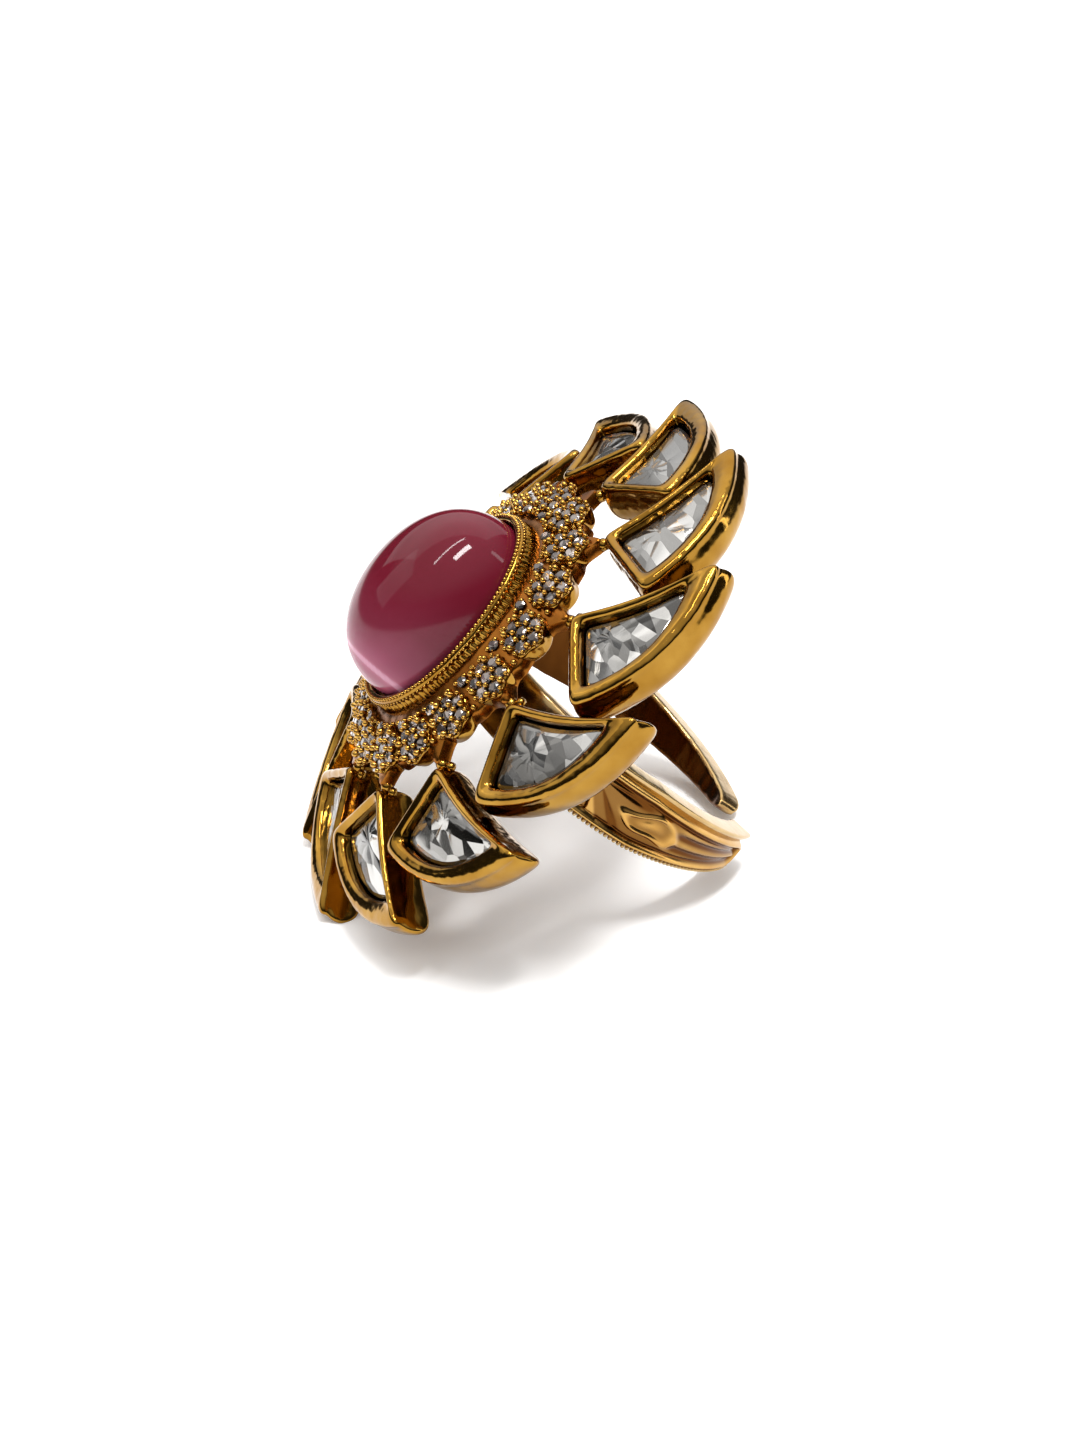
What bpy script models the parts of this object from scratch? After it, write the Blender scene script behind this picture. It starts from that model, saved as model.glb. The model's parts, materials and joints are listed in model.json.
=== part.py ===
"""A gold cocktail ring with an oval cabochon, a ring of paved rosettes and twelve crystal petals.

The ring is designed upright, in its own head frame: X along the finger, Y across it, and Z out of
the cabochon's dome. A parent empty then lays it on its side, on its lowest petals and the end of its
open shank, with the origin on the surface below the middle of its bounding box.
"""
import math

import bmesh
import bpy
from mathutils import Matrix, Vector

MM = 0.001
GAP = 0.05 * MM              # clearance between two pieces that touch on the real ring
RING_NAME = "cocktail_ring"

# Head: everything sits on one shallow cone that falls away from the cabochon.
CONE_TOP = 6.1 * MM          # height of the cone's point
CONE_SLOPE = 0.368           # fall for each unit of radius
OVAL = 0.065                 # how much longer than round the head is along the finger
HEAD_SCALE_X = 1 + OVAL
HEAD_SCALE_Y = 1 - OVAL

# Cabochon and its bezel.
STONE_HALF_LENGTH = 6.05 * MM
STONE_HALF_WIDTH = 4.9 * MM
STONE_DOME = 4.65 * MM       # height of the dome above the bezel's rim
STONE_SQUARENESS = 2.3       # 2 is an ellipsoid
BEZEL_FIT = 0.15 * MM        # clearance round the stone's girdle
BEZEL_RIM = 4.68 * MM        # height of the rim
BEZEL_WALL = 0.45 * MM
BEZEL_FOOT = 0.12 * MM       # how much further out the wall's foot stands
BEZEL_SEAT = 3.3 * MM        # height of the floor that the stone stands on
BEZEL_FLOOR = 0.45 * MM      # thickness of that floor

# Petals: cups that hold a flat crystal each.
PETALS = 12
PETAL_TURN = math.radians(59.8)
PETAL_FITS = 10.481 * MM     # radius of the petals' ring that the outline below is drawn for
PETAL_TIP = Vector((6.28, 4.12)) * MM
PETAL_SHOULDER = Vector((2.6, -4.18)) * MM
PETAL_MIDDLE = Vector((2.7, -0.6)) * MM
PETAL_INRADIUS = 1.8 * MM    # distance from the middle to the sides, which sets every offset outline
PETAL_HOLLOW = 0.4 * MM      # how far the leading side bows in
PETAL_BELLY = 1.6 * MM       # how far the outer side bows out
PETAL_RIM_OUT = 0.26 * MM
PETAL_RIM_IN = 0.34 * MM
PETAL_BULGE = 0.33 * MM
PETAL_DEPTH = 2.6 * MM
PETAL_POCKET = 1.5 * MM
CRYSTAL_SINK = 0.55 * MM     # depth of the crystal's top below the rim
CRYSTAL_CROWN = 0.25 * MM

# Rosettes: seven small stones on a round seat.
ROSETTES = 18
ROSETTE_CLEAR_LEAST = 0.7 * MM   # between the bezel's foot and a rosette's seat
SEAT_RADIUS = 1.36 * MM
SEAT_LIFT = 0.12 * MM        # height of the seat above the gallery
SEAT_DEPTH = 0.85 * MM
SEAT_SIDES = 12
PAVE_REACH = SEAT_RADIUS - 0.04 * MM   # from a rosette's middle to the outside of its outer stones
PAVE_NOTCH = PAVE_REACH - 0.14 * MM    # to the notch between two of them
PAVE_HEIGHT = 0.42 * MM

# The rosettes follow the bezel's oval, on a ring long enough for all their seats, and the plate and
# the petals follow the rosettes.
BEZEL_OUT = BEZEL_FIT + BEZEL_WALL + BEZEL_FOOT
BEZEL_MEAN = (STONE_HALF_LENGTH + STONE_HALF_WIDTH) / 2 + BEZEL_OUT
SEAT_PITCH = 2 * SEAT_RADIUS + 0.13 * MM
SEATS_NEED = ROSETTES * SEAT_PITCH / (2 * math.pi)
ROSETTE_CLEAR = max(ROSETTE_CLEAR_LEAST, SEATS_NEED - BEZEL_MEAN - SEAT_RADIUS)
ROSETTE_HALF_LENGTH = STONE_HALF_LENGTH + BEZEL_OUT + ROSETTE_CLEAR + SEAT_RADIUS
ROSETTE_HALF_WIDTH = STONE_HALF_WIDTH + BEZEL_OUT + ROSETTE_CLEAR + SEAT_RADIUS
SEATS_REACH = max(ROSETTE_HALF_LENGTH / HEAD_SCALE_X, ROSETTE_HALF_WIDTH / HEAD_SCALE_Y) + SEAT_RADIUS
PETAL_STANDOFF = 0.83 * MM   # from the seats' outside to a petal's inner corner
PETAL_RADIUS = SEATS_REACH + PETAL_STANDOFF
PETAL_SHARE = PETAL_RADIUS / PETAL_FITS

# Gallery: the pierced plate that carries the rosettes and reaches out to the petals.
GALLERY_INSET = 0.5 * MM     # how far the seats stand out over the plate's edge
GALLERY_THICK = 0.8 * MM
GALLERY_RADIUS = SEATS_REACH - GALLERY_INSET
PETAL_LEAN_IN = 0.72 * MM    # how far a petal's back leans in under its corner
GALLERY_ARM = PETAL_RADIUS - PETAL_LEAN_IN - GALLERY_RADIUS
GALLERY_ARM_SPREAD = math.radians(3.4)

# Shank: an open band, whose two arms bend to fit the finger.
FINGER_RADIUS = 9.6 * MM
BAND_THICK = 1.05 * MM
BRIDGE_THICK = 0.85 * MM
BRIDGE_RISE = 2.5 * MM       # how far the band's bridge stands up into the hollow under the head
FINGER_DROP = FINGER_RADIUS + BRIDGE_THICK - BRIDGE_RISE   # from the head's base plane to the finger's centre
BAND_HALF_AT_HEAD = 2.0 * MM
BAND_HALF_AT_PALM = 0.55 * MM
PANEL_THICK = 0.65 * MM
PANEL_STEP = 0.4 * MM        # how much narrower than its band a panel is, along one edge
PANEL_SHORT = math.radians(9)
ROOT_ANGLE = math.radians(-44)
NEAR_END = math.radians(61)
FAR_END = math.radians(95)
SHANK_LEAN = math.radians(-4.2)    # the bent shank leans along the finger
SHANK_TWIST = math.radians(-2.5)   # and is turned a little under the head
PANEL_START = math.radians(-24)
END_TAPER = math.radians(7)
END_WIDTH = 0.55             # share of the width that is left at the end's flat


def fresh_collection():
    for old in list(bpy.data.objects):
        bpy.data.objects.remove(old, do_unlink=True)
    collection = bpy.data.collections.new(RING_NAME)
    bpy.context.scene.collection.children.link(collection)
    return collection


def make_material(name, colour, metallic, roughness, transmission=0.0):
    material = bpy.data.materials.new(name)
    material.use_nodes = True
    shader = material.node_tree.nodes["Principled BSDF"]
    shader.inputs["Base Color"].default_value = (*colour, 1.0)
    shader.inputs["Metallic"].default_value = metallic
    shader.inputs["Roughness"].default_value = roughness
    shader.inputs["Transmission Weight"].default_value = transmission
    material.diffuse_color = (*colour, 1.0)
    return material


def add_object(name, mesh, material, parent):
    piece = bpy.data.objects.new(name, mesh)
    mesh.materials.append(material)
    mesh.shade_smooth()
    mesh.set_sharp_from_angle(angle=math.radians(35))
    piece.parent = parent
    COLLECTION.objects.link(piece)
    return piece


def add_empty(name, parent=None, place=(0, 0, 0)):
    empty = bpy.data.objects.new(name, None)
    empty.parent = parent
    empty.location = place
    COLLECTION.objects.link(empty)
    return empty


def loft(name, rings, round_closed=False):
    """A mesh through rings of as many points each: capped at both ends, or joined end to end."""
    bm = bmesh.new()
    loops = [[bm.verts.new(point) for point in ring] for ring in rings]
    count = len(loops[0])
    followers = loops[1:] + loops[:1] if round_closed else loops[1:]
    for low, high in zip(loops, followers):
        for i in range(count):
            j = (i + 1) % count
            bm.faces.new((low[i], low[j], high[j], high[i]))
    if not round_closed:
        bm.faces.new(reversed(loops[0]))
        bm.faces.new(loops[-1])
    bmesh.ops.recalc_face_normals(bm, faces=bm.faces)
    mesh = bpy.data.meshes.new(name)
    bm.to_mesh(mesh)
    bm.free()
    return mesh


def cone_height(radius):
    return CONE_TOP - CONE_SLOPE * radius


def on_head(angle, half_length, half_width):
    """The frame at a point of an oval on the head's cone: X down the slope, Z off the cone."""
    x, y = half_length * math.cos(angle), half_width * math.sin(angle)
    place = Vector((x, y, cone_height(math.hypot(x / HEAD_SCALE_X, y / HEAD_SCALE_Y))))
    lean = Matrix.Rotation(math.atan(CONE_SLOPE), 4, "Y")
    return Matrix.Translation(place) @ Matrix.Rotation(angle, 4, "Z") @ lean


# ---- cabochon and bezel ----

def oval_ring(half_length, half_width, height, count=24):
    angles = (2 * math.pi * i / count for i in range(count))
    return [Vector((half_length * math.cos(a), half_width * math.sin(a), height)) for a in angles]


def stone_rings():
    """The cabochon: a straight girdle, then a dome that follows a superellipse."""
    girdle = BEZEL_RIM - 0.3 * MM
    chamfer = 0.3 * MM
    base = BEZEL_SEAT + GAP
    yield oval_ring(STONE_HALF_LENGTH - chamfer, STONE_HALF_WIDTH - chamfer, base)
    yield oval_ring(STONE_HALF_LENGTH, STONE_HALF_WIDTH, base + chamfer)
    power = 2 / STONE_SQUARENESS
    rise = BEZEL_RIM + STONE_DOME - girdle
    for degrees in (0, 14, 28, 42, 56, 69, 80):
        lean = math.radians(degrees)
        share = math.cos(lean) ** power
        height = girdle + rise * math.sin(lean) ** power
        yield oval_ring(STONE_HALF_LENGTH * share, STONE_HALF_WIDTH * share, height)
    yield oval_ring(0.12 * STONE_HALF_LENGTH, 0.12 * STONE_HALF_WIDTH, girdle + rise)


def bezel_rings():
    """The bezel: outside from its underside up to the rim, then inside down to the stone's seat."""
    inner_length = STONE_HALF_LENGTH + BEZEL_FIT
    inner_width = STONE_HALF_WIDTH + BEZEL_FIT
    soft = 0.12 * MM
    foot = BEZEL_WALL + BEZEL_FOOT
    profile = ((foot - 2 * soft, BEZEL_SEAT - BEZEL_FLOOR), (foot, BEZEL_SEAT - BEZEL_FLOOR + soft),
               (foot, BEZEL_SEAT + 2 * soft), (BEZEL_WALL, BEZEL_RIM - 2 * soft),
               (BEZEL_WALL - soft, BEZEL_RIM), (soft, BEZEL_RIM), (0, BEZEL_RIM - soft),
               (0, BEZEL_SEAT))
    for out, height in profile:
        yield oval_ring(inner_length + out, inner_width + out, height)


# ---- petals ----

def bowed_side(start, end, bow, count):
    """Points along a side that bows to its right by up to bow, short of both corners."""
    along = end - start
    right = Vector((along.y, -along.x)).normalized()
    trim = 0.08
    shares = (trim + (1 - 2 * trim) * i / (count - 1) for i in range(count))
    return [start + along * t + right * (4 * bow * t * (1 - t)) for t in shares]


def petal_outline():
    """A curved wing: inner corner, outer shoulder, tip, and back along the hollow leading side."""
    corner = Vector((0, 0))
    return (bowed_side(corner, PETAL_SHOULDER, 0, 4)
            + bowed_side(PETAL_SHOULDER, PETAL_TIP, PETAL_BELLY, 6)
            + bowed_side(PETAL_TIP, corner, -PETAL_HOLLOW, 5))


def petal_ring(offset, height):
    """The outline grown by an offset, which may be negative, about the petal's middle.

    A wider ring of petals has petals wider by the same share.
    """
    share = 1 + offset / PETAL_INRADIUS
    grown = (PETAL_MIDDLE + (point - PETAL_MIDDLE) * share for point in petal_outline())
    return [Vector((point.x * PETAL_SHARE, point.y * PETAL_SHARE, height)) for point in grown]


def petal_cup_rings():
    soft = 0.2 * MM
    return [petal_ring(PETAL_BULGE - 0.5 * MM, -PETAL_DEPTH),
            petal_ring(PETAL_BULGE, -PETAL_DEPTH * 0.62),
            petal_ring(PETAL_RIM_OUT, -soft),
            petal_ring(PETAL_RIM_OUT - soft, 0),
            petal_ring(soft - PETAL_RIM_IN, 0),
            petal_ring(-PETAL_RIM_IN, -soft),
            petal_ring(-PETAL_RIM_IN, -PETAL_POCKET)]


def crystal_rings():
    side = -PETAL_RIM_IN - GAP
    return [petal_ring(side, -PETAL_POCKET + GAP),
            petal_ring(side, -CRYSTAL_SINK - CRYSTAL_CROWN),
            petal_ring(side - 0.45 * MM, -CRYSTAL_SINK)]


def petal_frame(index):
    angle = PETAL_TURN - 2 * math.pi * index / PETALS
    return on_head(angle, PETAL_RADIUS * HEAD_SCALE_X, PETAL_RADIUS * HEAD_SCALE_Y)


# ---- rosettes and gallery ----

def round_ring(radius, height, count):
    angles = (2 * math.pi * i / count for i in range(count))
    return [Vector((radius * math.cos(a), radius * math.sin(a), height)) for a in angles]


def rosette_frame(index):
    return on_head(2 * math.pi * (index + 0.5) / ROSETTES, ROSETTE_HALF_LENGTH, ROSETTE_HALF_WIDTH)


def union(target, others):
    """Joins the other objects to the target with exact Booleans, and removes them."""
    for other in others:
        step = target.modifiers.new("join", "BOOLEAN")
        step.operation = "UNION"
        step.solver = "EXACT"
        step.object = other
    graph = bpy.context.evaluated_depsgraph_get()
    joined = bpy.data.meshes.new_from_object(target.evaluated_get(graph))
    target.modifiers.clear()
    target.data = joined
    for other in others:
        bpy.data.objects.remove(other, do_unlink=True)


def flower_ring(share, height):
    """The outline of six stones round a seventh: a lobe for each outer stone."""
    radii = (PAVE_REACH, PAVE_NOTCH) * 6
    return [Vector((share * r * math.cos(math.pi * i / 6), share * r * math.sin(math.pi * i / 6), height))
            for i, r in enumerate(radii)]


def add_rosette_stones(index, material):
    """The seven stones of a rosette as one body with their common outline."""
    low = SEAT_LIFT + GAP
    rings = [flower_ring(1, low), flower_ring(1, low + 0.55 * PAVE_HEIGHT),
             flower_ring(0.85, low + PAVE_HEIGHT)]
    mesh = loft("rosette_stones", rings)
    mesh.transform(rosette_frame(index))
    return add_object(f"rosette_stones_{index + 1:02d}", mesh, material, RING)


def gallery_reach(angle):
    """The plate's outer radius, which swells into an arm at each petal's inner corner."""
    step = 2 * math.pi / PETALS
    away = (angle - PETAL_TURN + step / 2) % step - step / 2
    return GALLERY_RADIUS + GALLERY_ARM * math.exp(-(away / GALLERY_ARM_SPREAD) ** 2)


def gallery_sections(count=96):
    """Four-cornered sections round the head, between the bezel's foot and the plate's outer edge."""
    clear = BEZEL_OUT + GAP
    for i in range(count):
        angle = 2 * math.pi * i / count
        way = Vector((math.cos(angle), math.sin(angle)))
        inner = Vector((way.x * (STONE_HALF_LENGTH + clear), way.y * (STONE_HALF_WIDTH + clear)))
        reach = gallery_reach(angle)
        outer = Vector((way.x * HEAD_SCALE_X, way.y * HEAD_SCALE_Y)) * reach
        corners = []
        for spot, radius in ((inner, inner.length), (outer, reach)):
            top = cone_height(radius)
            corners.append((Vector((spot.x, spot.y, top)), Vector((spot.x, spot.y, top - GALLERY_THICK))))
        yield [corners[0][0], corners[1][0], corners[1][1], corners[0][1]]


def add_gallery(material):
    plate = add_object("gallery", loft("gallery", list(gallery_sections()), True), material, RING)
    seats = []
    for index in range(ROSETTES):
        rings = [round_ring(SEAT_RADIUS, height, SEAT_SIDES) for height in (SEAT_LIFT - SEAT_DEPTH, SEAT_LIFT)]
        mesh = loft("seat", rings)
        mesh.transform(rosette_frame(index))
        seats.append(add_object("seat", mesh, material, RING))
    union(plate, seats)


# ---- shank ----

def band_half(angle):
    share = min(max(angle / (math.pi / 2), 0), 1)
    return BAND_HALF_AT_HEAD + (BAND_HALF_AT_PALM - BAND_HALF_AT_HEAD) * share


def shank_frame():
    """From the finger's centre, with X along the finger, to the head frame."""
    turn = Matrix.Rotation(SHANK_TWIST, 4, "Z") @ Matrix.Rotation(SHANK_LEAN, 4, "Y")
    return Matrix.Translation((0, 0, -FINGER_DROP)) @ turn


def shank_section(angle, side, low, high, inner, outer):
    """A soft-cornered section from low to high along the finger, inner to outer off its centre.

    The angle starts level with the finger's centre and grows towards the palm. The side is -1 for
    the near arm and 1 for the far arm.
    """
    soft = min(0.22 * MM, 0.3 * (high - low))
    corners = ((low + soft, inner), (high - soft, inner), (high, inner + soft), (high, outer - soft),
               (high - soft, outer), (low + soft, outer), (low, outer - soft), (low, inner + soft))
    return [Vector((x, side * r * math.cos(angle), -r * math.sin(angle))) for x, r in corners]


def shank_rings(side, start, end, inner, outer, narrow=0.0):
    """Sections along the band, which narrows to a blunt end over its last stretch."""
    steps = max(3, round((end - start) / math.radians(8)))
    angles = [start + (end - END_TAPER - start) * i / steps for i in range(steps + 1)]
    angles += [end - END_TAPER / 3, end]
    shares = [1.0] * (steps + 1) + [0.85, END_WIDTH]
    for angle, share in zip(angles, shares):
        half = band_half(angle)
        middle = -narrow / 2
        reach = (half - narrow / 2) * share
        yield shank_section(angle, side, middle - reach, middle + reach, inner, outer)


def bridge_rings():
    """The band under the head, from one arm's root to the other's."""
    seam = GAP / FINGER_RADIUS
    start, end = -math.pi - ROOT_ANGLE + seam, ROOT_ANGLE - seam
    steps = 10
    for i in range(steps + 1):
        angle = start + (end - start) * i / steps
        yield shank_section(angle, -1, -BAND_HALF_AT_HEAD, BAND_HALF_AT_HEAD, FINGER_RADIUS,
                            FINGER_RADIUS + BRIDGE_THICK)


def add_arm(label, side, end, band_material, panel_material):
    """One arm of the shank: its band, and the ornamented panel on its outside."""
    middle = FINGER_RADIUS + BAND_THICK / 2
    pivot = shank_frame() @ Vector((0, side * middle * math.cos(ROOT_ANGLE), -middle * math.sin(ROOT_ANGLE)))
    root = add_empty(f"{label}_arm_pivot", RING, pivot)
    band_outside = FINGER_RADIUS + BAND_THICK
    panel_inside = band_outside + GAP
    pieces = (("band", band_material, shank_rings(side, ROOT_ANGLE, end, FINGER_RADIUS, band_outside)),
              ("panel", panel_material, shank_rings(side, PANEL_START, end - PANEL_SHORT, panel_inside,
                                                    panel_inside + PANEL_THICK, PANEL_STEP)))
    made = []
    for piece, material, rings in pieces:
        mesh = loft(piece, list(rings))
        mesh.transform(Matrix.Translation(-pivot) @ shank_frame())
        made.append(add_object(f"{label}_arm_{piece}", mesh, material, root))
    return made


# ---- lying pose ----

def head_points(pieces):
    """Every vertex of the pieces, in the head frame."""
    found = []
    for piece in pieces:
        moved = piece.parent.location if piece.parent is not RING else Vector()
        found += [vertex.co + moved for vertex in piece.data.vertices]
    return found


def lying_angle(head, shank):
    """The lean at which the lowest petal and the shank stand on one level surface."""
    low, high = 0.0, math.pi / 2
    for _ in range(40):
        lean = (low + high) / 2
        heights = [min(p.x * math.sin(lean) + p.z * math.cos(lean) for p in side) for side in (head, shank)]
        if heights[0] > heights[1]:
            low = lean
        else:
            high = lean
    return (low + high) / 2


def lay_down(head, shank):
    """Turns the ring onto its side and puts the origin under the middle of its bounding box."""
    turn = Matrix.Rotation(-lying_angle(head_points(head[0]), head_points(shank)), 4, "Y")
    points = [turn @ p for p in head_points(head[1] + shank)]
    low, high = ([pick(p[axis] for p in points) for axis in range(3)] for pick in (min, max))
    RING.rotation_euler = turn.to_euler()
    RING.location = (-(low[0] + high[0]) / 2, -(low[1] + high[1]) / 2, -low[2])


COLLECTION = fresh_collection()
RING = add_empty("ring_frame")

GOLD = make_material("polished_gold", (0.83, 0.55, 0.18), 1.0, 0.16)
PALE_GOLD = make_material("pale_gold", (0.78, 0.66, 0.42), 1.0, 0.25)
PINK = make_material("pink_cats_eye_glass", (0.48, 0.07, 0.18), 0.0, 0.06, 0.3)
CRYSTAL = make_material("foiled_crystal", (0.80, 0.82, 0.83), 0.0, 0.05, 0.4)
PAVE = make_material("pave_stone", (0.72, 0.70, 0.72), 0.0, 0.04, 0.4)

cabochon = add_object("cabochon", loft("cabochon", list(stone_rings())), PINK, RING)
bezel = add_object("cabochon_bezel", loft("cabochon_bezel", list(bezel_rings())), GOLD, RING)
add_gallery(GOLD)
for number in range(ROSETTES):
    add_rosette_stones(number, PAVE)

cups = []
for number in range(PETALS):
    for label, rings, finish in (("petal_cup", petal_cup_rings(), GOLD),
                                 ("petal_crystal", crystal_rings(), CRYSTAL)):
        petal = loft(label, rings)
        petal.transform(petal_frame(number))
        made_petal = add_object(f"{label}_{number + 1:02d}", petal, finish, RING)
        if finish is GOLD:
            cups.append(made_petal)

bridge_mesh = loft("shank_bridge", list(bridge_rings()))
bridge_mesh.transform(shank_frame())
bridge = add_object("shank_bridge", bridge_mesh, PALE_GOLD, RING)
arms = add_arm("near", -1, NEAR_END, PALE_GOLD, GOLD) + add_arm("far", 1, FAR_END, PALE_GOLD, GOLD)
lay_down((cups, cups + [cabochon, bezel]), arms + [bridge])
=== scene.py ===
import json
import math

import bpy
import numpy as np
from mathutils import Matrix, Quaternion, Vector


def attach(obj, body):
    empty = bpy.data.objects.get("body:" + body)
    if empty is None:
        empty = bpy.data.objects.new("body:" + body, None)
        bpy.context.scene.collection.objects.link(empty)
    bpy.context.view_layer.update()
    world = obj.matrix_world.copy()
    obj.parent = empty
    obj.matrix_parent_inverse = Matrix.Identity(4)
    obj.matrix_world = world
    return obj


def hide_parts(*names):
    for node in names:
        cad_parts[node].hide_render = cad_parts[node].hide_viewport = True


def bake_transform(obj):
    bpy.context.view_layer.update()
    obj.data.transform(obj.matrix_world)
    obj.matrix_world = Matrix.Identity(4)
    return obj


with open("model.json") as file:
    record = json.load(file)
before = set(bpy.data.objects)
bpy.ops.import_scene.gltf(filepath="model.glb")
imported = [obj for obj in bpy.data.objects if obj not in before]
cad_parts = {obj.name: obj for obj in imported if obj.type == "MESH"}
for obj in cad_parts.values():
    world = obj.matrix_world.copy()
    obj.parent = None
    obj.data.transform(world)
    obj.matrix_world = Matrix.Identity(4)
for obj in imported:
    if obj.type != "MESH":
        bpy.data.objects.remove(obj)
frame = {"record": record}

MM = 0.001
TAU = 2 * math.pi
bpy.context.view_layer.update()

# Sizes, in millimetres and degrees in the head's own frame: X along the finger, Z out of the dome.
CONE_TOP, CONE_SLOPE = 6.1, 0.368
HEAD_SCALE = (1.065, 0.935)
STONE_HALF = (6.05, 4.9)
STONE_DOME, STONE_SQUARENESS = 4.65, 2.3
BEZEL_RIM, BEZEL_SEAT, BEZEL_FIT, BEZEL_WALL = 4.68, 3.3, 0.15, 0.45
ROSETTE_HALF = (8.83, 7.68)
ROSETTES, SEAT_RADIUS, SEAT_LIFT, SEAT_DEPTH = 18, 1.36, 0.12, 0.85
PETALS, PETAL_TURN, PETAL_RADIUS = 12, 59.8, 10.5
PETAL_TIP, PETAL_SHOULDER, PETAL_MIDDLE = (6.5, 4.36), (2.64, -4.4), (2.7, -0.6)
PETAL_INRADIUS, PETAL_HOLLOW, PETAL_BELLY = 1.8, 0.4, 1.6
MILGRAIN, FLUTES, FLUTE_DEPTH = 130, 96, 0.055
GALLERY_RADIUS, GALLERY_ARM, GALLERY_THICK, GALLERY_HOLE = 9.15, 0.66, 0.8, 0.66
FINGER_RADIUS, FINGER_DROP = 9.6, 7.95
BAND_THICK, BRIDGE_THICK, PANEL_THICK = 1.05, 0.85, 0.65
BAND_HALF_AT_HEAD, BAND_HALF_AT_PALM = 2.0, 0.55
BAND_START, ROOT, PANEL_START, NEAR_END, FAR_END, PANEL_SHORT = -92.0, -44.0, -24.0, 61.0, 95.0, 9.0
PANEL_MARGIN, PANEL_NOSE, PANEL_TAIL, PANEL_MIDDLE = 0.2, 1.1, 0.7, -0.2
SHANK_LEAN, SHANK_TWIST = -4.2, -2.5


# ---- frames ----

def turn_about(axis, degrees):
    return np.array(Matrix.Rotation(math.radians(degrees), 4, axis))


def shifted(x, y, z):
    return np.array(Matrix.Translation((x, y, z)))


def head_frame():
    """The head's frame in metres, found from the finger's axis and centre, which the frame gives."""
    mount = next(m for m in frame["record"]["mounts"] if m["name"] == "finger")
    axis, centre = np.array(mount["axis"]), np.array(mount["pos_m"])
    own = (turn_about("Z", SHANK_TWIST) @ turn_about("Y", SHANK_LEAN))[:3, 0]
    if axis @ own < 0:
        axis = -axis
    lean = math.degrees(math.atan2(axis[2], axis[0]) - math.atan2(own[2], own[0]))
    turned = turn_about("Y", -lean)
    origin = centre + turned[:3, 2] * FINGER_DROP * MM
    return shifted(*origin) @ turned @ np.diag((MM, MM, MM, 1.0))


HEAD = head_frame()
SHANK = shifted(0, 0, -FINGER_DROP) @ turn_about("Z", SHANK_TWIST) @ turn_about("Y", SHANK_LEAN)


def cone_height(radius):
    return CONE_TOP - CONE_SLOPE * radius


def on_head(angle, half):
    """The frame at a point of an oval on the head's cone: X down the slope, Z off the cone."""
    x, y = half[0] * math.cos(angle), half[1] * math.sin(angle)
    height = cone_height(math.hypot(x / HEAD_SCALE[0], y / HEAD_SCALE[1]))
    lean = math.degrees(math.atan(CONE_SLOPE))
    return shifted(x, y, height) @ turn_about("Z", math.degrees(angle)) @ turn_about("Y", lean)


def petal_frame(index):
    angle = math.radians(PETAL_TURN - 360 * index / PETALS)
    return on_head(angle, (PETAL_RADIUS * HEAD_SCALE[0], PETAL_RADIUS * HEAD_SCALE[1]))


def rosette_frame(index):
    return on_head(TAU * (index + 0.5) / ROSETTES, ROSETTE_HALF)


def move(points, matrix):
    return points @ matrix[:3, :3].T + matrix[:3, 3]


# ---- surfaces ----

def grid_faces(rows, cols, around=True, closed=False):
    """Quads between the points of a grid: round the columns, and from the last row to the first if closed."""
    i = np.arange(rows if closed else rows - 1)[:, None]
    j = np.arange(cols if around else cols - 1)[None, :]
    k, n = (i + 1) % rows, (j + 1) % cols
    return np.stack([i * cols + j, i * cols + n, k * cols + n, k * cols + j], -1).reshape(-1, 4)


def capped(points):
    """A grid's vertices and faces, with a fan to a middle point over its first and its last row."""
    rows, cols = points.shape[:2]
    flat = points.reshape(-1, 3)
    verts = np.concatenate([flat, points[:1].mean(1), points[-1:].mean(1)])
    j = np.arange(cols)
    n = (j + 1) % cols
    first = np.stack([np.full(cols, rows * cols), n, j], -1)
    last = np.stack([np.full(cols, rows * cols + 1), (rows - 1) * cols + j, (rows - 1) * cols + n], -1)
    return verts, [grid_faces(rows, cols), first, last]


def outward(verts, faces):
    """The faces, turned round if the closed surface that they make has a volume below zero."""
    volume = 0.0
    for group in faces:
        for k in range(1, group.shape[1] - 1):
            a, b, c = verts[group[:, 0]], verts[group[:, k]], verts[group[:, k + 1]]
            volume += float(np.einsum("ij,ij->", a, np.cross(b, c)))
    return faces if volume > 0 else [group[:, ::-1] for group in faces]


def piece(name, verts, faces, material, smooth=True, sharp=None, values=None):
    """A finished mesh object in the row frame, from points in the head's frame."""
    placed = move(verts, HEAD)
    faces = outward(placed - placed.mean(0), faces)
    mesh = bpy.data.meshes.new(name)
    mesh.from_pydata(placed.tolist(), [], [face for group in faces for face in group.tolist()])
    mesh.update()
    if smooth:
        mesh.shade_smooth()
        if sharp:
            mesh.set_sharp_from_angle(angle=math.radians(sharp))
    for label, numbers in (values or {}).items():
        mesh.attributes.new(label, "FLOAT", "POINT").data.foreach_set("value", numbers.astype(np.float32))
    mesh.materials.append(material)
    made = bpy.data.objects.new(name, mesh)
    bpy.context.scene.collection.objects.link(made)
    return made


def copies(verts, faces, frames):
    """One set of points and faces for every frame."""
    frames = np.asarray(frames)
    placed = np.einsum("kij,mj->kmi", frames[:, :3, :3], verts) + frames[:, None, :3, 3]
    shift = (np.arange(len(frames)) * len(verts))[:, None, None]
    return placed.reshape(-1, 3), [(group[None] + shift).reshape(-1, group.shape[1]) for group in faces]


def together(parts):
    """Several sets of points and faces as one."""
    verts, faces, start = [], [], 0
    for points, groups in parts:
        verts.append(points)
        faces += [group + start for group in groups]
        start += len(points)
    return np.concatenate(verts), faces


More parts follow.
